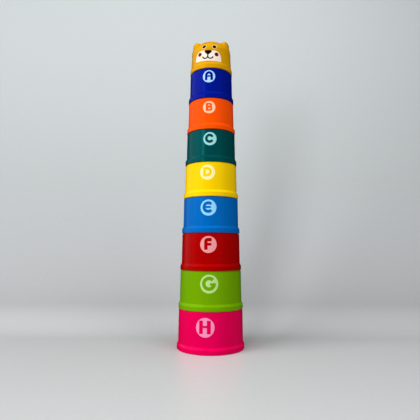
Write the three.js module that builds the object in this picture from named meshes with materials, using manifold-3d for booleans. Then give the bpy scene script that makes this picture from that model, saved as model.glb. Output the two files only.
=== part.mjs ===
// A tower of stacking cups: eight tapered cups, mouth down, with a bear's head on top.
// Each piece is a one-piece plastic moulding that rests on the ledge of the piece below,
// round a low raised boss that keeps it centred.
// Millimetres, +Z up. The origin is on the table, at the middle of the largest cup's mouth,
// and the tower's front faces -Y.

import * as THREE from "three";
import { mergeVertices } from "three/addons/utils/BufferGeometryUtils.js";
import Module from "manifold-3d";

// The tower
const BASE_RIM_RADIUS = 44; // the largest cup's mouth, over its rim
const RADIUS_STEP = 1.9; // how much smaller each piece's rim is than the one below
const SMALLEST_PITCH = 41.3; // how far the smallest cup lifts the piece above it
const PITCH_STEP = 1.0; // how much taller each larger cup is, and
const PITCH_GROWTH = 0.055; // how fast that difference itself grows
const SEAT_GAP = 0.1; // air between a rim and the ledge that it rests on
const SEGMENTS = 40; // flats round each turned shape

// The wall and its rim band, which every piece shares
const WALL = 1.3; // side wall
const END_WALL = 1.5; // closed end
const RIM_WALL = 1.7; // wall of the rim band
const RIM_CHAMFER = 0.5; // broken edge at the foot of the rim
const BAND_HEIGHT = 4.8; // upright part of the rim band
const FLARE_MID = 7.2; // the flare's bend, between the band and the side wall
const FLARE_TOP = 8.6; // where the flare meets the side wall
const BAND_OVERHANG = 1.7; // how far a cup's rim band stands out from its side wall
const FLARE_MID_SHARE = 0.75; // how much of that the flare has lost at its bend

// A cup's closed end
const SHOULDER_INSET = 2.3; // the shoulder's radius is this much less than the rim's
const EDGE_CHAMFER = 0.4; // broken edges of the shoulder and the boss
const BOSS_HEIGHT = 2.5; // the boss that enters the mouth of the piece above
const BOSS_CLEARANCE = 0.4; // its clearance in that mouth

// The bear's head
const HEAD_BAND_OVERHANG = 1.2; // its side wall is nearer to flush with its rim band
const HEAD_SHOULDER_Z = 28; // where its side wall turns into the dome
const HEAD_SHOULDER_INSET = 2.2; // how much the side wall has drawn in by then
const DOME_HEIGHT = 18.5;
const DOME_STEPS = 7; // flats from the shoulder to the crown
const EAR_OFFSET = 18.9; // from the axis to the middle of each ear
const EAR_RADIUS = 6.0;
const EAR_FOOT_Z = 31; // an ear is an upright capsule between these two heights,
const EAR_CENTRE_Z = 41.0;
const EAR_DEPTH = 2.0; // deeper than it is wide by this much
const EAR_SEGMENTS = 20;
const EAR_CAP_STEPS = 4;
const HEAD_TURN = -6; // degrees: it stands turned a little to the viewer's left

const CUPS = [
  // from the bottom of the tower to the top
  { name: "cup_h", colour: "#e3024f" },
  { name: "cup_g", colour: "#75ad07" },
  { name: "cup_f", colour: "#ad0203" },
  { name: "cup_e", colour: "#045fc2" },
  { name: "cup_d", colour: "#f4cb05" },
  { name: "cup_c", colour: "#064f50" },
  { name: "cup_b", colour: "#f9560b" },
  { name: "cup_a", colour: "#02188f" },
];
const HEAD_COLOUR = "#e6a008";

const wasm = await Module();
wasm.setup();

function plastic(colour) {
  return new THREE.MeshStandardMaterial({ color: colour, roughness: 0.32, metalness: 0 });
}

function rimRadius(level) {
  return BASE_RIM_RADIUS - RADIUS_STEP * level;
}

// The height from a cup's rim to the rim of the piece that stands on it.
function pitch(level) {
  const fromSmallest = CUPS.length - 1 - level;
  return SMALLEST_PITCH + PITCH_STEP * fromSmallest + PITCH_GROWTH * fromSmallest ** 2;
}

// Turns a closed outline of [radius, height] points about Z.
function turned(outline) {
  const points = outline.map(([radius, height]) => new THREE.Vector2(radius, height));
  return new THREE.LatheGeometry(points, SEGMENTS).rotateX(Math.PI / 2);
}

// The inside of a piece near its mouth, from the side wall down to the foot of the rim.
function innerMouth(rim, overhang) {
  return [
    [rim - overhang - WALL, FLARE_TOP],
    [rim - RIM_WALL, BAND_HEIGHT],
    [rim - RIM_WALL, 0],
  ];
}

// The outside of the rim band, from the foot of the rim up to the side wall.
function outerBand(rim, overhang) {
  return [
    [rim - RIM_CHAMFER, 0],
    [rim, RIM_CHAMFER],
    [rim, BAND_HEIGHT],
    [rim - overhang * FLARE_MID_SHARE, FLARE_MID],
    [rim - overhang, FLARE_TOP],
  ];
}

// A cup stands on its mouth: the outline runs up the inside of its closed end,
// down the inner wall, round the rim and back up the outside.
function cupGeometry(level) {
  const rim = rimRadius(level);
  const shoulder = rim - SHOULDER_INSET;
  const boss = rimRadius(level + 1) - RIM_WALL - BOSS_CLEARANCE;
  const ledge = pitch(level) - SEAT_GAP;
  const top = ledge + BOSS_HEIGHT;
  return turned([
    [0, top - END_WALL],
    [boss - WALL, top - END_WALL],
    [boss - WALL, ledge - END_WALL],
    [shoulder - WALL, ledge - END_WALL],
    ...innerMouth(rim, BAND_OVERHANG),
    ...outerBand(rim, BAND_OVERHANG),
    [shoulder, ledge - EDGE_CHAMFER],
    [shoulder - EDGE_CHAMFER, ledge],
    [boss, ledge],
    [boss, top - EDGE_CHAMFER],
    [boss - EDGE_CHAMFER, top],
    [0, top],
  ]);
}

// A quarter ellipse from the head's shoulder to its crown.
function domeOutline(radius, height) {
  const points = [];
  for (let step = 0; step <= DOME_STEPS; step += 1) {
    const angle = (Math.PI / 2) * (step / DOME_STEPS);
    const reach = step === DOME_STEPS ? 0 : radius * Math.cos(angle);
    points.push([reach, HEAD_SHOULDER_Z + height * Math.sin(angle)]);
  }
  return points;
}

// A solid that manifold-3d can cut, from a closed three.js geometry.
function solid(geometry) {
  geometry.deleteAttribute("normal");
  geometry.deleteAttribute("uv");
  const merged = mergeVertices(geometry);
  return new wasm.Manifold(
    new wasm.Mesh({
      numProp: 3,
      vertProperties: merged.attributes.position.array,
      triVerts: Uint32Array.from(merged.index.array),
    }),
  );
}

function geometryOf(manifold) {
  const mesh = manifold.getMesh();
  const geometry = new THREE.BufferGeometry();
  geometry.setAttribute("position", new THREE.BufferAttribute(mesh.vertProperties, 3));
  geometry.setIndex(new THREE.BufferAttribute(mesh.triVerts, 1));
  geometry.computeVertexNormals();
  return geometry;
}

// The ear on the given side of the head, drawn in all round by the inset.
function ear(side, inset) {
  const radius = EAR_RADIUS - inset;
  const length = EAR_CENTRE_Z - EAR_FOOT_Z;
  const lobe = new THREE.CapsuleGeometry(radius, length, EAR_CAP_STEPS, EAR_SEGMENTS);
  lobe.rotateX(Math.PI / 2);
  lobe.scale(1, EAR_DEPTH, 1);
  lobe.translate(side * EAR_OFFSET, 0, EAR_FOOT_Z + length / 2);
  return solid(lobe);
}

// The head is a hollow cup too: its wall, dome and ears keep an even thickness.
function headGeometry() {
  const rim = rimRadius(CUPS.length);
  const shoulder = rim - HEAD_SHOULDER_INSET;
  const outline = [
    [0, 0],
    ...outerBand(rim, HEAD_BAND_OVERHANG),
    ...domeOutline(shoulder, DOME_HEIGHT),
  ];
  const below = -FLARE_TOP;
  const cavity = [
    [0, below],
    [rim - RIM_WALL, below],
    ...innerMouth(rim, HEAD_BAND_OVERHANG).reverse(),
    ...domeOutline(shoulder - WALL, DOME_HEIGHT - END_WALL),
  ];
  let outside = solid(turned(outline));
  let inside = solid(turned(cavity));
  for (const side of [-1, 1]) {
    outside = outside.add(ear(side, 0));
    inside = inside.add(ear(side, WALL));
  }
  return geometryOf(outside.subtract(inside));
}

const tower = new THREE.Group();
let seat = 0;
CUPS.forEach(({ name, colour }, level) => {
  const cup = new THREE.Mesh(cupGeometry(level), plastic(colour));
  cup.name = name;
  cup.position.z = seat;
  tower.add(cup);
  seat += pitch(level);
});

const head = new THREE.Mesh(headGeometry(), plastic(HEAD_COLOUR));
head.name = "bear_head";
head.position.z = seat;
head.rotation.z = THREE.MathUtils.degToRad(HEAD_TURN);
tower.add(head);

export default tower;
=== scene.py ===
"""A tower of stacking cups topped by a bear's head, standing on a pale paper sweep.

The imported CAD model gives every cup's place and size. Each piece is turned again here with rounded
edges, printed with its badge or face as thin shells of ink, and given a moulded plastic material.
Lengths are in metres, as in the frame; MM turns a millimetre figure into metres.
"""

import math
from collections import namedtuple

import bpy
import numpy as np
from mathutils import Euler, Matrix, Quaternion, Vector
from mathutils.geometry import delaunay_2d_cdt


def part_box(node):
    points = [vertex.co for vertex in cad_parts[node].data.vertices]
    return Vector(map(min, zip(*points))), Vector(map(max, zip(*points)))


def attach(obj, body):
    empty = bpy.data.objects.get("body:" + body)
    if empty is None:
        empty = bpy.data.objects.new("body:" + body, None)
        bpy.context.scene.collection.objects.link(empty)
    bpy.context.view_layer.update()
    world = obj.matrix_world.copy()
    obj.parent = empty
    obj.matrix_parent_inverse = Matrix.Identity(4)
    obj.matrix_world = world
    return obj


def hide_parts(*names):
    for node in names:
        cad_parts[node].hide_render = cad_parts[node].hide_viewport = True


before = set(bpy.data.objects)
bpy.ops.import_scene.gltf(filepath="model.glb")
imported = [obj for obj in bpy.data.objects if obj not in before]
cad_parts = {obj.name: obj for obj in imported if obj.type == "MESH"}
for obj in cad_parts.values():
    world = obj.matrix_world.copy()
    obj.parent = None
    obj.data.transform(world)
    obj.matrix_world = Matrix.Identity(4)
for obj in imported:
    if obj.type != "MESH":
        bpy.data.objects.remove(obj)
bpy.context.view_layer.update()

MM = 0.001

# Every piece's wall and rim band, measured up from its rim
WALL = 1.3 * MM
END_WALL = 1.5 * MM
RIM_WALL = 1.7 * MM
BAND_HEIGHT = 4.8 * MM
BAND_RISE = 0.8 * MM  # the band reaches this much higher outside than inside
BAND_OVERHANG = 1.7 * MM
FLARE_TOP = 8.6 * MM
FOOT_FILLET = 0.8 * MM  # round the outside of the rim's foot
LIP_FILLET = 0.2 * MM  # and round its inside
BAND_FILLET = 1.2 * MM
FLARE_FILLET = 1.0 * MM

# A cup's closed end
SHOULDER_INSET = 2.3 * MM
SHOULDER_FILLET = 0.4 * MM
STEP_INSET = 0.9 * MM  # the shoulder steps in, leaving a groove under the next rim
STEP_HEIGHT = 1.2 * MM
STEP_FILLET = 0.1 * MM
BOSS_INSET = 4.0 * MM
BOSS_HEIGHT = 2.5 * MM
BOSS_FILLET = 0.5 * MM
PANEL_INSET = 4.5 * MM  # the boss has a shallow round panel sunk in it
PANEL_DEPTH = 0.4 * MM
PANEL_FILLET = PANEL_DEPTH / 2
GATE_RADIUS = 1.6 * MM  # and the stub of the moulding gate at its middle
GATE_TOP_RADIUS = 0.7 * GATE_RADIUS
GATE_HEIGHT = 0.25 * MM
GATE_FILLET = GATE_HEIGHT / 4

# The bear's head, measured up from its rim
head_low, head_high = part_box("bear_head")
HEAD_BASE = head_low[2]
HEAD_RIM = (head_high[0] - head_low[0]) / 2
HEAD_OVERHANG = 1.2 * MM
HEAD_FOOT = HEAD_RIM - HEAD_OVERHANG  # the side wall's radius where it starts, at the flare's top
HEAD_TAPER = 1.0 / 19.4  # how fast the side wall draws in
HEAD_SHOULDER_Z = 28 * MM
HEAD_TURN = math.radians(-6)
CAP_FOOT_Z = 20 * MM  # below this the head is a plain turned shape
DOME_CENTRE_Z = 27.3 * MM
DOME_RADIUS = 26.6 * MM
DOME_HEIGHT = 19.2 * MM
EAR_OFFSET = 18.9 * MM
EAR_RADIUS = 6.0 * MM
EAR_DEPTH = 2.0  # an ear is this much deeper than it is wide
EAR_FOOT_Z = 31 * MM
EAR_CENTRE_Z = head_high[2] - HEAD_BASE - EAR_RADIUS
EAR_BLEND = 4.0 * MM

# How finely things are turned
TURN_SEGMENTS = 192
CAP_RINGS = 100  # the head's crown is turned this finely, as it holds the ears
CAP_SEGMENTS = 336
FILLET_STEPS = 5
EASE = 0.25 * MM  # a support ring this far from each fillet keeps the long walls' shading flat
RAY_STEPS = 80  # the head's skin is found by this many steps along each ray,
RAY_PACE = 0.6  # each of them this share of how far off the skin seems to be
SLOPE_STEP = 0.02 * MM

# Print
INK_LIFT = 0.06 * MM
INK_SINK = 0.04 * MM
INK_CELL = 0.7 * MM  # prints are cut this finely, so that they follow the wall
TRUE_WIDTH_Z = (FLARE_TOP + HEAD_SHOULDER_Z) / 2  # a print keeps its drawn width at this height
BADGE_SIDES = 96
ROUND_END_STEPS = 8
MITRE_LIMIT = 0.4  # a stroke's corner is cut short where it turns more sharply than this cosine
WHOLE_HULL = 0  # asks for every triangle between the outlines, inside them or not
MERGE_DISTANCE = 1e-9
FACE_HEADING = math.radians(-9.5)  # the face is printed a little off the middle between the ears
FACE_TILT = math.radians(-3)
FACE_PIVOT = (0, 20)  # the nose, in the millimetres that the face is drawn in

# Materials
PLASTIC_ROUGHNESS = (0.2, 0.28)  # from the smoothest places to the most scuffed
PLASTIC_SPECULAR = 0.8
WHITE_SHARE = 0.05  # how much of a reflection in plastic stays white
INK_ROUGHNESS = (0.36, 0.48)
INK_SPECULAR = 0.15
PAPER_ROUGHNESS = 0.36
PAPER_SPECULAR = 0.6

# Each cup's colour, its badge's ink, how far the badge is turned from the front in degrees, the
# badge's height as a share of the cup's height to its ledge, and its radius as a share of the rim's
Cup = namedtuple("Cup", "colour ink turn height_share radius_share slot")
CUPS = {
    "cup_h": Cup("#EA0053", "#F894BE", -9.3, 0.64, 0.263, "pink_plastic"),
    "cup_g": Cup("#70A502", "#B9E08C", -2.8, 0.685, 0.27, "lime_plastic"),
    "cup_f": Cup("#A80101", "#EE9A9E", -4.6, 0.69, 0.26, "red_plastic"),
    "cup_e": Cup("#0165B8", "#92D4FB", -5.0, 0.685, 0.267, "blue_plastic"),
    "cup_d": Cup("#FDD002", "#FFF1AC", -7.4, 0.69, 0.268, "yellow_plastic"),
    "cup_c": Cup("#014445", "#98D8D9", -2.6, 0.695, 0.252, "teal_plastic"),
    "cup_b": Cup("#FF5202", "#FEC9A4", -4.8, 0.69, 0.252, "orange_plastic"),
    "cup_a": Cup("#01168A", "#ACD4FC", -6.0, 0.715, 0.272, "navy_plastic"),
}
HEAD_COLOUR = "#D69A03"

# The paper sweep: a flat floor that turns up in a parabola behind the tower, and the painted shade
# and light of its grey at a few heights in metres: darker where it turns up, lighter and cooler high
# up
SWEEP_HALF_WIDTH = 5.0
SWEEP_FRONT = -6.0
SWEEP_BEND = 0.05  # where the floor starts to rise
SWEEP_RADIUS = 0.3  # the radius of its bend there
SWEEP_BACK = 1.1
SWEEP_STEPS = 40
PAPER_PAINTED_SHADES = [
    (0.0, (0.515, 0.526, 0.528, 1)),
    (0.006, (0.465, 0.473, 0.477, 1)),
    (0.03, (0.318, 0.323, 0.329, 1)),
    (0.3, (0.336, 0.353, 0.357, 1)),
    (1.0, (0.465, 0.494, 0.499, 1)),
]

# Each light's place, the point it faces, its width and height, and its power in watts
LIGHTS = {
    "key": ((-1.9, -1.15, 1.15), (0, 0, 0.2), 1.6, 1.6, 62),
    "window": ((-1.15, 0.0, 0.75), (0, 0, 0.2), 1.7, 1.6, 3),
    "window_edge": ((-0.62, -0.80, 0.7), (0, 0, 0.45), 0.05, 0.8, 0.7),
    "ceiling": ((0.1, -0.35, 1.6), (0, 0, 0), 1.4, 1.2, 15),
    "fill": ((1.1, -1.3, 0.6), (0, 0, 0.2), 1.0, 1.0, 11),
    "backdrop_light": ((-0.42, -1.2, 0.09), (0, 0, 0.3), 0.3, 0.3, 20),
}
WORLD_COLOUR = (0.80, 0.82, 0.85, 1)
WORLD_STRENGTH = 0.27

# The camera stands low and near, looking up the tower a little, as the toy was seen
CAMERA_PLACE = (-1.15 * MM, -540 * MM, 128 * MM)
CAMERA_PITCH = math.radians(95.48)
CAMERA_ROLL = math.radians(0.14)
CAMERA_SENSOR = 36  # in millimetres, as the lens is
CAMERA_LENS = 34.5


# ---------------------------------------------------------------- colours and materials


def linear(hex_colour):
    """An sRGB hex colour as the linear RGBA that Blender's sockets hold."""
    channels = [int(hex_colour[i : i + 2], 16) / 255 for i in (1, 3, 5)]
    return [c / 12.92 if c <= 0.04045 else ((c + 0.055) / 1.055) ** 2.4 for c in channels] + [1.0]


def scaled(rgba, factor):
    """A colour made lighter or darker, with its alpha kept."""
    return [channel * factor for channel in rgba[:3]] + [rgba[3]]


class Nodes:
    """A short way to add and join a material's nodes."""

    def __init__(self, name):
        self.material = bpy.data.materials.new(name)
        self.material.use_nodes = True
        self.tree = self.material.node_tree
        self.shader = self.tree.nodes["Principled BSDF"]
        self.position = self.add("ShaderNodeTexCoord").outputs["Object"]

    def add(self, kind, **settings):
        node = self.tree.nodes.new(kind)
        for key, value in settings.items():
            setattr(node, key, value)
        return node

    def join(self, output, socket):
        self.tree.links.new(output, socket)

    def stretched(self, scale):
        """The object's coordinates, scaled along each axis."""
        mapping = self.add("ShaderNodeMapping")
        mapping.inputs["Scale"].default_value = scale
        self.join(self.position, mapping.inputs["Vector"])
        return mapping.outputs["Vector"]

    def noise(self, scale, detail, stretch=(1, 1, 1)):
        node = self.add("ShaderNodeTexNoise")
        node.inputs["Scale"].default_value = scale
        node.inputs["Detail"].default_value = detail
        self.join(self.stretched(stretch), node.inputs["Vector"])
        return node.outputs["Fac"]

    def ramp(self, factor, low, high, first, last):
        """A colour that goes from first to last as the factor goes from low to high."""
        node = self.add("ShaderNodeValToRGB")
        elements = node.color_ramp.elements
        elements[0].position, elements[1].position = low, high
        elements[0].color, elements[1].color = first, last
        self.join(factor, node.inputs["Fac"])
        return node.outputs["Color"]

    def mapped(self, factor, low, high, first, last):
        """A value that goes from first to last as the factor goes from low to high."""
        node = self.add("ShaderNodeMapRange")
        node.inputs["From Min"].default_value = low
        node.inputs["From Max"].default_value = high
        node.inputs["To Min"].default_value = first
        node.inputs["To Max"].default_value = last
        self.join(factor, node.inputs["Value"])
        return node.outputs["Result"]

    def multiplied(self, colour, factor):
        """A colour darkened by another colour."""
        node = self.add("ShaderNodeMix", data_type="RGBA", blend_type="MULTIPLY")
        node.inputs["Factor"].default_value = 1.0
        # Inputs 6 and 7 are the Mix node's two colours, and output 2 is the colour it makes
        self.join(colour, node.inputs[6])
        self.join(factor, node.inputs[7])
        return node.outputs[2]

    def bump(self, height, distance, strength, before=None):
        """A surface normal tipped by a height, on top of an earlier bump if there is one."""
        node = self.add("ShaderNodeBump")
        node.inputs["Distance"].default_value = distance
        node.inputs["Strength"].default_value = strength
        self.join(height, node.inputs["Height"])
        if before:
            self.join(before, node.inputs["Normal"])
        return node.outputs["Normal"]


def moulded_plastic(name, hex_colour):
    """Glossy polypropylene, tinted even in its reflections.

    Faint flow marks shade it, a slight ripple bends its reflections, and fine scuffs dull them.
    """
    nodes = Nodes(name)
    colour = linear(hex_colour)
    flow = nodes.noise(scale=38, detail=2.0, stretch=(1, 1, 0.35))
    shade = nodes.ramp(flow, 0.3, 0.7, scaled(colour, 0.96), scaled(colour, 1.03))
    nodes.join(shade, nodes.shader.inputs["Base Color"])
    scuffs = nodes.noise(scale=900, detail=4.0, stretch=(1, 1, 0.12))
    dulled = nodes.mapped(scuffs, 0.35, 0.75, *PLASTIC_ROUGHNESS)
    nodes.join(dulled, nodes.shader.inputs["Roughness"])
    waves = nodes.noise(scale=90, detail=1.0)
    ripple = nodes.bump(waves, distance=0.03 * MM, strength=0.25)
    specks = nodes.noise(scale=2600, detail=2.0)
    grain = nodes.bump(specks, distance=0.01 * MM, strength=0.2, before=ripple)
    nodes.join(grain, nodes.shader.inputs["Normal"])
    brightest = max(colour[:3])
    tint = [WHITE_SHARE + (1 - WHITE_SHARE) * channel / brightest for channel in colour[:3]] + [1]
    nodes.shader.inputs["Specular Tint"].default_value = tint
    nodes.shader.inputs["Specular IOR Level"].default_value = PLASTIC_SPECULAR
    return nodes.material


def pad_ink(name, hex_colour):
    """Pad-printed ink: slightly uneven cover with a satin surface."""
    nodes = Nodes(name)
    colour = linear(hex_colour)
    cover = nodes.noise(scale=420, detail=4.0)
    shade = nodes.ramp(cover, 0.35, 0.7, scaled(colour, 0.93), colour)
    nodes.join(shade, nodes.shader.inputs["Base Color"])
    sheen = nodes.mapped(cover, 0.3, 0.7, *INK_ROUGHNESS)
    nodes.join(sheen, nodes.shader.inputs["Roughness"])
    specks = nodes.noise(scale=1800, detail=3.0)
    grain = nodes.bump(specks, distance=0.01 * MM, strength=0.4)
    nodes.join(grain, nodes.shader.inputs["Normal"])
    nodes.shader.inputs["Specular IOR Level"].default_value = INK_SPECULAR
    return nodes.material


def paper(name):
    """Smooth card whose grey holds painted shade and light: darker where it turns up behind the tower,
    as shade, and lighter and cooler towards its top, as light.
    """
    nodes = Nodes(name)
    height = nodes.add("ShaderNodeSeparateXYZ")
    nodes.join(nodes.position, height.inputs["Vector"])
    # Painted shade and light: the card's grey is set by height, darker where it turns up, lighter and
    # cooler higher up
    painted_shade = nodes.add("ShaderNodeValToRGB")
    stops = painted_shade.color_ramp.elements
    stops[0].position, stops[0].color = PAPER_PAINTED_SHADES[0]
    stops[1].position, stops[1].color = PAPER_PAINTED_SHADES[-1]
    for place, grey in PAPER_PAINTED_SHADES[1:-1]:
        stops.new(place).color = grey
    nodes.join(height.outputs["Z"], painted_shade.inputs["Fac"])
    fibres = nodes.noise(scale=160, detail=5.0)
    flecks = nodes.ramp(fibres, 0.3, 0.7, (0.97, 0.97, 0.97, 1), (1, 1, 1, 1))
    shade = nodes.multiplied(painted_shade.outputs["Color"], flecks)
    nodes.join(shade, nodes.shader.inputs["Base Color"])
    nodes.shader.inputs["Roughness"].default_value = PAPER_ROUGHNESS
    nodes.shader.inputs["Specular IOR Level"].default_value = PAPER_SPECULAR
    return nodes.material


# ---------------------------------------------------------------- turned shapes


def rounded(corners):
    """The outline through corners given as (radius, height, fillet), with each fillet an arc."""
    outline = [Vector(corners[0][:2])]
    for before, corner, after in zip(corners, corners[1:], corners[2:]):
        here, fillet = Vector(corner[:2]), corner[2]
        back = (Vector(before[:2]) - here).normalized()
        on = (Vector(after[:2]) - here).normalized()
        half = back.angle(on) / 2
        reach = fillet / math.tan(half)
        centre = here + (back + on).normalized() * fillet / math.sin(half)
        start, end = here + back * reach - centre, here + on * reach - centre
        bend = start.angle_signed(end)
        outline.append(centre + start + back * EASE)
        for step in range(FILLET_STEPS + 1):
            angle = math.atan2(start.y, start.x) - bend * step / FILLET_STEPS
            outline.append(centre + Vector((math.cos(angle), math.sin(angle))) * fillet)
        outline.append(centre + end + on * EASE)
    outline.append(Vector(corners[-1][:2]))
    return [(point.x, point.y) for point in outline]


def mesh_piece(name, points, faces, material):
    """A smooth-shaded object made of points and faces."""
    mesh = bpy.data.meshes.new(name)
    mesh.from_pydata([tuple(point) for point in points], [], faces)
    mesh.validate()
    mesh.shade_smooth()
    mesh.materials.append(material)
    piece = bpy.data.objects.new(name, mesh)
    bpy.context.scene.collection.objects.link(piece)
    return piece


def ring_faces(rings):
    """Quads between one ring of point numbers and the next, all the way round."""
    faces = []
    for upper, lower in zip(rings, rings[1:]):
        for here in range(len(upper)):
            after = (here + 1) % len(upper)
            faces.append((upper[here], lower[here], lower[after], upper[after]))
    return faces


def turned(name, outline, base, material):
    """A body of revolution from an outline that starts and ends on the axis."""
    angles = [math.tau * step / TURN_SEGMENTS for step in range(TURN_SEGMENTS)]
    points = [(0, 0, base + outline[0][1])]
    rings = []
    for radius, height in outline[1:-1]:
        rings.append(list(range(len(points), len(points) + TURN_SEGMENTS)))
        points += [(radius * math.cos(a), radius * math.sin(a), base + height) for a in angles]
    last = len(points)
    points.append((0, 0, base + outline[-1][1]))
    faces = ring_faces(rings)
    for here in range(TURN_SEGMENTS):
        after = (here + 1) % TURN_SEGMENTS
        faces.append((0, rings[0][here], rings[0][after]))
        faces.append((last, rings[-1][after], rings[-1][here]))
    return mesh_piece(name, points, faces, material)


def rim_corners(rim, overhang):
    """The corners of a rim band, from the inner wall down round the foot and up to the side wall."""
    return [
        (rim - overhang - WALL, FLARE_TOP, FLARE_FILLET),
        (rim - RIM_WALL, BAND_HEIGHT, BAND_FILLET),
        (rim - RIM_WALL, 0, LIP_FILLET),
        (rim, 0, FOOT_FILLET),
        (rim, BAND_HEIGHT + BAND_RISE, BAND_FILLET),
        (rim - overhang, FLARE_TOP, FLARE_FILLET),
    ]


def cup_outline(rim, ledge):
    """Round the inside of the closed end, down the inner wall, round the rim and up the outside."""
    shoulder = rim - SHOULDER_INSET
    boss = rim - BOSS_INSET
    top = ledge + BOSS_HEIGHT
    panel = boss - PANEL_INSET
    sunk = top - PANEL_DEPTH
    return rounded(
        [
            (0, top - END_WALL, 0),
            (boss - WALL, top - END_WALL, BOSS_FILLET),
            (boss - WALL, ledge - END_WALL, BOSS_FILLET / 2),
            (shoulder - WALL, ledge - END_WALL, SHOULDER_FILLET),
            *rim_corners(rim, BAND_OVERHANG),
            (shoulder, ledge - STEP_HEIGHT, SHOULDER_FILLET / 2),
            (shoulder - STEP_INSET, ledge - STEP_HEIGHT, STEP_FILLET),
            (shoulder - STEP_INSET, ledge, STEP_FILLET),
            (boss, ledge, STEP_FILLET),
            (boss, top, BOSS_FILLET),
            (panel + PANEL_DEPTH, top, PANEL_FILLET),
            (panel, sunk, PANEL_FILLET),
            (GATE_RADIUS, sunk, GATE_FILLET),
            (GATE_TOP_RADIUS, sunk + GATE_HEIGHT, GATE_FILLET),
            (0, sunk + GATE_HEIGHT, 0),
        ]
    )


# ---------------------------------------------------------------- the head's shape


def head_wall(height):
    """The radius of the head's tapered side wall at a height."""
    return HEAD_FOOT - HEAD_TAPER * (height - FLARE_TOP)


def head_radius(height):
    """The radius of the head's front at a height, away from its ears."""
    if height <= HEAD_SHOULDER_Z:
        return head_wall(height)
    rise = min((height - DOME_CENTRE_Z) / DOME_HEIGHT, 1)
    return DOME_RADIUS * math.sqrt(1 - rise**2)


def head_level(points):
    """Roughly how far each point lies outside the head's skin, with the ears blended in."""
    x, y, z = points.T
    radius = np.hypot(x, y)
    wall = radius - head_wall(z)
    rise = z - DOME_CENTRE_Z
    share = np.hypot(radius / DOME_RADIUS, rise / DOME_HEIGHT)
    slope = np.hypot(radius / DOME_RADIUS**2, rise / DOME_HEIGHT**2)
    dome = share * (share - 1) / np.maximum(slope, 1e-9)
    body = np.where(z > HEAD_SHOULDER_Z, dome, wall)
    above = z - np.clip(z, EAR_FOOT_Z, EAR_CENTRE_Z)
    ear = np.sqrt((np.abs(x) - EAR_OFFSET) ** 2 + (y / EAR_DEPTH) ** 2 + above**2) - EAR_RADIUS
    mix = np.clip(0.5 + 0.5 * (ear - body) / EAR_BLEND, 0, 1)
    return ear * (1 - mix) + body * mix - EAR_BLEND * mix * (1 - mix)


def slope_of(level, points):
    """The gradient of a level function at each point."""
    columns = []
    for axis in np.eye(3):
        rise = level(points + axis * SLOPE_STEP) - level(points - axis * SLOPE_STEP)
        columns.append(rise / (2 * SLOPE_STEP))
    return np.stack(columns, axis=1)


def head_cap():
    """Points on the head's crown, where rays from the middle of its mouth come out, ring by ring."""
    lowest = math.atan2(CAP_FOOT_Z, head_wall(CAP_FOOT_Z))
    rise = np.linspace(math.pi / 2, lowest, CAP_RINGS + 1)[:, None]
    angle = np.linspace(0, math.tau, CAP_SEGMENTS, endpoint=False)[None, :]
    across, along = np.cos(rise) * np.cos(angle), np.cos(rise) * np.sin(angle)
    up = np.broadcast_to(np.sin(rise), across.shape)
    rays = np.stack([across, along, up], axis=2).reshape(-1, 3)
    reach = np.full(len(rays), 2 * HEAD_RIM)
    for _ in range(RAY_STEPS):
        reach = reach - RAY_PACE * head_level(rays * reach[:, None])
    # The first ring is the crown point over and over, so only its last copy is kept
    return (rays * reach[:, None])[CAP_SEGMENTS - 1 :]


def cap_rings(first):
    """The numbers of a cap's points, ring by ring outward from its crown point."""
    starts = [first + 1 + ring * CAP_SEGMENTS for ring in range(CAP_RINGS)]
    return [list(range(start, start + CAP_SEGMENTS)) for start in starts]


def head_shell(material):
    """The hollow head: an outer and an inner cap joined by the turned wall and rim."""
    outer = head_cap()
    slope = slope_of(head_level, outer)
    inner = outer - slope / np.linalg.norm(slope, axis=1)[:, None] * WALL
    foot = head_wall(CAP_FOOT_Z)
    outline = rounded(
        [
            (foot - WALL, CAP_FOOT_Z, 0),
            *rim_corners(HEAD_RIM, HEAD_OVERHANG),
            (foot, CAP_FOOT_Z, 0),
        ]
    )
    points = [outer, inner]
    count = len(outer) + len(inner)
    outer_rings, inner_rings = cap_rings(0), cap_rings(len(outer))
    wall_rings = []
    angles = np.linspace(0, math.tau, CAP_SEGMENTS, endpoint=False)
    for radius, height in outline[1:-1]:
        wall_rings.append(list(range(count, count + CAP_SEGMENTS)))
        count += CAP_SEGMENTS
        ring = [radius * np.cos(angles), radius * np.sin(angles), np.full(CAP_SEGMENTS, height)]
        points.append(np.stack(ring, axis=1))
    points = np.concatenate(points)
    cosine, sine = math.cos(HEAD_TURN), math.sin(HEAD_TURN)
    points[:, :2] = points[:, :2] @ np.array([[cosine, sine], [-sine, cosine]])
    points[:, 2] += HEAD_BASE
    faces = ring_faces(inner_rings + wall_rings + outer_rings[::-1])
    for here in range(CAP_SEGMENTS):
        after = (here + 1) % CAP_SEGMENTS
        faces.append((0, outer_rings[0][here], outer_rings[0][after]))
        faces.append((len(outer), inner_rings[0][after], inner_rings[0][here]))
    return mesh_piece("bear_head_shell", points, faces, material)


# ---------------------------------------------------------------- flat artwork


def arc(centre, radius, start, end, steps=24):
    """Points along an arc, with its angles in degrees."""
    points = []
    for step in range(steps + 1):
        angle = math.radians(start + (end - start) * step / steps)
        points.append((centre[0] + radius * math.cos(angle), centre[1] + radius * math.sin(angle)))
    return points


def ellipse(centre, width, height, steps=48):
    """Points round an ellipse."""
    points = []
    for step in range(steps):
        angle = math.tau * step / steps
        across = width / 2 * math.cos(angle)
        up = height / 2 * math.sin(angle)
        points.append((centre[0] + across, centre[1] + up))
    return points


def leaning(centre, width, height, degrees):
    """An ellipse turned anticlockwise about its centre."""
    turn = Matrix.Rotation(math.radians(degrees), 2)
    middle = Vector(centre)
    level = [Vector(point) for point in ellipse(centre, width, height)]
    return [tuple(middle + turn @ (point - middle)) for point in level]


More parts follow.
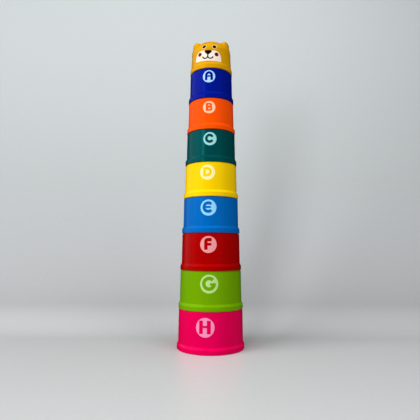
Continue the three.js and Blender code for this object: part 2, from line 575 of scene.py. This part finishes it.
def end_cap(centre, start):
    """The points of a half circle from start round the outside of a line's end."""
    arm = start - centre
    points = []
    for step in range(1, ROUND_END_STEPS):
        angle = -math.pi * step / ROUND_END_STEPS
        across = arm.x * math.cos(angle) - arm.y * math.sin(angle)
        up = arm.x * math.sin(angle) + arm.y * math.cos(angle)
        points.append(centre + Vector((across, up)))
    return points


def stroke(path, width, round_ends=False):
    """The outline of a line of even width along a path."""
    points = [Vector(point) for point in path]
    left, right = [], []
    for number, point in enumerate(points):
        before = points[max(number - 1, 0)]
        after = points[min(number + 1, len(points) - 1)]
        inward = (point - before).normalized() if number else (after - point).normalized()
        outward = (after - point).normalized() if number < len(points) - 1 else inward
        along = (inward + outward).normalized()
        across = along.orthogonal() * (width / 2 / max(inward.dot(along), MITRE_LIMIT))
        left.append(point + across)
        right.append(point - across)
    outline = left
    if round_ends:
        outline = outline + end_cap(points[-1], left[-1])
    outline = outline + right[::-1]
    if round_ends:
        outline = outline + end_cap(points[0], right[0])
    return [tuple(point) for point in outline]


# Each letter is a few bold strokes in a badge of radius 1.


def letter_a():
    arch = [(-0.44, -0.62)] + arc((0.0, 0.2), 0.44, 180, 0) + [(0.44, -0.62)]
    return [stroke(arch, 0.4), stroke([(-0.44, 0.05), (0.44, 0.05)], 0.26)]


def letter_b():
    stem = stroke([(-0.36, 0.7), (-0.36, -0.6)], 0.38)
    upper = [(-0.36, 0.56)] + arc((0.1, 0.34), 0.22, 90, -90) + [(-0.36, 0.12)]
    lower = [(-0.36, 0.05)] + arc((0.12, -0.2), 0.25, 90, -90) + [(-0.36, -0.45)]
    return [stem, stroke(upper, 0.3), stroke(lower, 0.3)]


def letter_c():
    return [stroke(arc((-0.05, 0.06), 0.5, 46, 310, 40), 0.4, round_ends=True)]


def letter_d():
    stem = stroke([(-0.4, 0.66), (-0.4, -0.56)], 0.36)
    bowl = [(-0.38, 0.5)] + arc((-0.04, 0.05), 0.45, 90, -90) + [(-0.38, -0.4)]
    return [stem, stroke(bowl, 0.33)]


def letter_e():
    bowl = stroke(arc((-0.03, 0.05), 0.53, 60, 300, 40), 0.38, round_ends=True)
    return [bowl, stroke([(-0.45, 0.06), (0.2, 0.06)], 0.26, round_ends=True)]


def letter_f():
    hook = [(-0.3, -0.62), (-0.3, 0.36)] + arc((-0.08, 0.36), 0.22, 180, 90, 8)[1:] + [(0.4, 0.58)]
    return [stroke(hook, 0.42), stroke([(-0.3, 0.03), (0.37, 0.03)], 0.32)]


def letter_g():
    ring = arc((-0.02, 0.03), 0.57, 42, 356, 48)
    return [stroke(ring, 0.38), stroke([(0.73, -0.04), (0.1, -0.04)], 0.26)]


def letter_h():
    posts = [stroke([(x, 0.72), (x, -0.66)], 0.42) for x in (-0.44, 0.4)]
    return posts + [stroke([(-0.44, 0.08), (0.4, 0.08)], 0.24)]


LETTERS = {
    "cup_a": letter_a,
    "cup_b": letter_b,
    "cup_c": letter_c,
    "cup_d": letter_d,
    "cup_e": letter_e,
    "cup_f": letter_f,
    "cup_g": letter_g,
    "cup_h": letter_h,
}


# ---------------------------------------------------------------- ink


def anticlockwise(outline):
    """An outline in the order that puts its inside on the left."""
    area = sum(a[0] * b[1] - b[0] * a[1] for a, b in zip(outline, outline[1:] + outline[:1]))
    return outline if area > 0 else outline[::-1]


def grid_lines(low, high):
    """The ends of lines that cut a box into cells, first those up it and then those across it."""
    ends = []
    for axis in (0, 1):
        for cut in range(1, int((high[axis] - low[axis]) / INK_CELL) + 1):
            start, end = low.copy(), high.copy()
            start[axis] = end[axis] = low[axis] + cut * INK_CELL
            ends.append((start, end))
    return ends


def print_mesh(inked, bare):
    """Flat points and triangles that cover the inked outlines but not the bare ones."""
    points, outlines, edges = [], [], []
    for outline in inked + bare:
        outlines.append(list(range(len(points), len(points) + len(outline))))
        points += [Vector(point) for point in anticlockwise(outline)]
    low = Vector([min(point[axis] for point in points) for axis in (0, 1)])
    high = Vector([max(point[axis] for point in points) for axis in (0, 1)])
    for line in grid_lines(low, high):
        edges.append((len(points), len(points) + 1))
        points += line
    flat, _, triangles, _, _, sources = delaunay_2d_cdt(
        points, edges, outlines, WHOLE_HULL, MERGE_DISTANCE
    )
    kept = []
    for triangle, source in zip(triangles, sources):
        is_inked = any(number < len(inked) for number in source)
        is_bare = any(number >= len(inked) for number in source)
        if is_inked and not is_bare:
            kept.append(list(triangle))
    return flat, kept


def ink_shell(name, inked, bare, wrap, lift, material):
    """A thin closed shell of ink on a curved wall: wrap takes a flat point and a lift to its place."""
    flat, triangles = print_mesh(inked, bare)
    used = sorted({number for triangle in triangles for number in triangle})
    place = {number: index for index, number in enumerate(used)}
    top = [wrap(flat[number], lift) for number in used]
    bottom = [wrap(flat[number], -INK_SINK) for number in used]
    faces, border = [], {}
    for triangle in triangles:
        a, b, c = (place[number] for number in triangle)
        faces += [(a, b, c), (c + len(used), b + len(used), a + len(used))]
        for edge in ((a, b), (b, c), (c, a)):
            if edge[::-1] in border:
                del border[edge[::-1]]
            else:
                border[edge] = True
    for a, b in border:
        faces.append((b, a, a + len(used), b + len(used)))
    piece = mesh_piece(name, top + bottom, faces, material)
    piece.data.polygons.foreach_set("use_smooth", [False] * len(piece.data.polygons))
    return piece


def on_wall(radius_at, base, heading):
    """A wrap on to a turned wall: flat x runs round the wall and flat y runs up it."""

    def wrap(point, lift):
        radius = radius_at(point[1])
        lean = (radius_at(point[1] + EASE) - radius_at(point[1] - EASE)) / (2 * EASE)
        tilt = math.atan(lean)
        reach = radius + lift * math.cos(tilt)
        angle = heading + point[0] / radius_at(TRUE_WIDTH_Z)
        height = base + point[1] - lift * math.sin(tilt)
        return (reach * math.sin(angle), -reach * math.cos(angle), height)

    return wrap


# ---------------------------------------------------------------- the pieces


def keep(piece, body, slot, node=None):
    """Rides a piece on its body, in place of a CAD node if one is given; its slot argument is not
    used.
    """
    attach(piece, body)
    if node:
        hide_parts(node)


def make_cup(name):
    """A cup and the badge with its letter, printed on its front."""
    cup = CUPS[name]
    low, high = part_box(name)
    rim = (high[0] - low[0]) / 2
    ledge = high[2] - low[2] - BOSS_HEIGHT
    plastic = moulded_plastic(cup.slot, cup.colour)
    shell = turned(f"{name}_shell", cup_outline(rim, ledge), low[2], plastic)
    keep(shell, name, cup.slot, name)
    side = rim - BAND_OVERHANG
    taper = (SHOULDER_INSET - BAND_OVERHANG) / (ledge - FLARE_TOP)
    wrap = on_wall(lambda height: side - taper * (height - FLARE_TOP), low[2], math.radians(cup.turn))
    radius = rim * cup.radius_share
    middle = ledge * cup.height_share
    disc = ellipse((0, middle), 2 * radius, 2 * radius, BADGE_SIDES)
    letter = [[(x * radius, middle + y * radius) for x, y in outline] for outline in LETTERS[name]()]
    badge = ink_shell(f"{name}_badge", [disc], letter, wrap, INK_LIFT, pad_ink(f"{name}_ink", cup.ink))
    keep(badge, name, "white_ink")


def make_head():
    head = head_shell(moulded_plastic("honey_plastic", HEAD_COLOUR))
    keep(head, "bear_head", "honey_plastic", "bear_head")


def tilted(outline):
    """An outline in millimetres as metres, turned about the nose by the tilt of the print."""
    pivot = Vector(FACE_PIVOT)
    turn = Matrix.Rotation(FACE_TILT, 2)
    return [tuple((pivot + turn @ (Vector(point) - pivot)) * MM) for point in outline]


def muzzle_outline():
    """The white patch: two round tops over a wide foot with small rounded corners."""
    return (
        [(-18.3, 12.0), (-17.8, 16.3)]
        + arc((-8.6, 15.7), 9.3, 165, 96, 10)
        + arc((8.6, 15.7), 9.5, 84, 15, 10)
        + [(18.3, 16.5), (18.9, 12.0)]
        + arc((17.7, 11.6), 1.2, 0, -90, 5)
        + arc((-17.1, 11.6), 1.2, -90, -180, 5)
    )


def nose_outline():
    """A triangle with rounded corners, point down."""
    return (
        arc((0, 20.4), 1.5, -40, -140, 5)
        + arc((-3.3, 23.7), 1.7, 215, 105, 6)
        + arc((3.3, 23.7), 1.7, 75, -35, 6)
    )


def mouth_outlines():
    """A short line down from the nose and a curl to each side."""
    line_width = 1.65
    outlines = [stroke([(0, 20.5), (0, 17.0)], line_width, round_ends=True)]
    for side in (-1, 1):
        curl = arc((side * 3.5, 17.2), 3.5, 270 - side * 90, 270 + side * 70)
        outlines.append(stroke(curl, line_width, round_ends=True))
    return outlines


def make_face():
    """The printed face, drawn in millimetres: x from its middle, y up from the head's rim."""
    white = pad_ink("face_white", "#F3E4D4")
    cream = pad_ink("face_cream", "#F2D28A")
    black = pad_ink("face_black", "#060408")
    red = pad_ink("face_red", "#6A0410")
    olive = pad_ink("face_olive", "#8A7410")
    eyes = [leaning((-6.1, 30.6), 5.8, 4.1, 28), leaning((8.3, 30.6), 5.2, 4.6, 0)]
    eye_rings = [leaning((-6.1, 30.6), 7.0, 5.6, 24), leaning((8.4, 30.7), 6.7, 6.1, 0)]
    cheeks = [ellipse((side * 11.7, 20.0), 5.5, 5.4) for side in (-1, 1)]
    # Olive arcs above the eyes, a little darker than the head around them
    arches = [arc((x, 33.0), 3.2, 55, 125, 8) for x in (-6.0, 8.0)]
    olive_arcs = [stroke(arch, 1.1, round_ends=True) for arch in arches]
    # Each drawing's name, outlines, number of the ink layer it is in, ink and material slot
    drawings = [
        ("face_muzzle", [muzzle_outline()], 1, white, "white_ink"),
        ("face_eye_rings", eye_rings, 1, cream, "white_ink"),
        ("face_olive_arcs", olive_arcs, 1, olive, "black_ink"),
        ("face_nose", [nose_outline()], 2, black, "black_ink"),
        ("face_mouth", mouth_outlines(), 2, black, "black_ink"),
        ("face_eyes", eyes, 2, black, "black_ink"),
        ("face_cheeks", cheeks, 2, red, "cheek_ink"),
    ]
    wrap = on_wall(head_radius, HEAD_BASE, FACE_HEADING)
    for name, outlines, layer, ink, slot in drawings:
        art = [tilted(outline) for outline in outlines]
        keep(ink_shell(name, art, [], wrap, INK_LIFT * layer, ink), "bear_head", slot)


# ---------------------------------------------------------------- stage, lights and camera


def make_sweep():
    """The pale floor and backdrop. It throws no light back on the tower, whose colours stay deep."""
    rows = [(SWEEP_FRONT, 0.0)]
    for step in range(SWEEP_STEPS + 1):
        run = (SWEEP_BACK - SWEEP_BEND) * step / SWEEP_STEPS
        rows.append((SWEEP_BEND + run, run**2 / (2 * SWEEP_RADIUS)))
    points, faces = [], []
    for y, z in rows:
        points += [(-SWEEP_HALF_WIDTH, y, z), (SWEEP_HALF_WIDTH, y, z)]
    for row in range(len(rows) - 1):
        faces.append((2 * row, 2 * row + 1, 2 * row + 3, 2 * row + 2))
    sweep = mesh_piece("paper_sweep", points, faces, paper("paper"))
    sweep.visible_glossy = False
    sweep.visible_diffuse = False
    return sweep


def make_world():
    """Dim even light from all round, which the plastic doesn't mirror."""
    world = bpy.data.worlds.new("studio")
    world.use_nodes = True
    background = world.node_tree.nodes["Background"]
    background.inputs["Color"].default_value = WORLD_COLOUR
    background.inputs["Strength"].default_value = WORLD_STRENGTH
    bpy.context.scene.world = world
    world.cycles_visibility.glossy = False


def area_light(name, place, target, width, height, watts):
    """A soft rectangular lamp at a place, facing a target."""
    light = bpy.data.lights.new(name, "AREA")
    light.shape = "RECTANGLE"
    light.size, light.size_y = width, height
    light.energy = watts
    lamp = bpy.data.objects.new(name, light)
    lamp.location = place
    lamp.rotation_euler = (Vector(target) - Vector(place)).to_track_quat("-Z", "Y").to_euler()
    bpy.context.scene.collection.objects.link(lamp)
    return lamp


def link_light(lamp, target, state):
    """Makes a lamp light the target alone (INCLUDE) or all but the target (EXCLUDE)."""
    receivers = bpy.data.collections.new(f"{lamp.name}_receivers")
    receivers.objects.link(target)
    receivers.collection_objects[0].light_linking.link_state = state
    lamp.light_linking.receiver_collection = receivers


def make_lights(sweep):
    """Lamps that light the scene unseen, and two that show only as reflections in the plastic."""
    lamps = {name: area_light(name, *settings) for name, settings in LIGHTS.items()}
    for name in ("key", "ceiling", "fill", "backdrop_light"):
        lamps[name].visible_glossy = False
    for name in ("window", "window_edge"):
        lamps[name].visible_diffuse = False
        link_light(lamps[name], sweep, "EXCLUDE")
    link_light(lamps["backdrop_light"], sweep, "INCLUDE")


def make_camera():
    camera = bpy.data.cameras.new("camera")
    camera.sensor_width = CAMERA_SENSOR
    camera.lens = CAMERA_LENS
    holder = bpy.data.objects.new("camera", camera)
    holder.location = CAMERA_PLACE
    holder.rotation_mode = "QUATERNION"
    pitch = Euler((CAMERA_PITCH, 0, 0)).to_quaternion()
    holder.rotation_quaternion = pitch @ Quaternion((0, 0, 1), CAMERA_ROLL)
    bpy.context.scene.collection.objects.link(holder)
    bpy.context.scene.camera = holder


for cup_name in CUPS:
    make_cup(cup_name)
make_head()
make_face()
sweep = make_sweep()
make_world()
make_lights(sweep)
make_camera()
bpy.context.scene.view_settings.view_transform = "Standard"
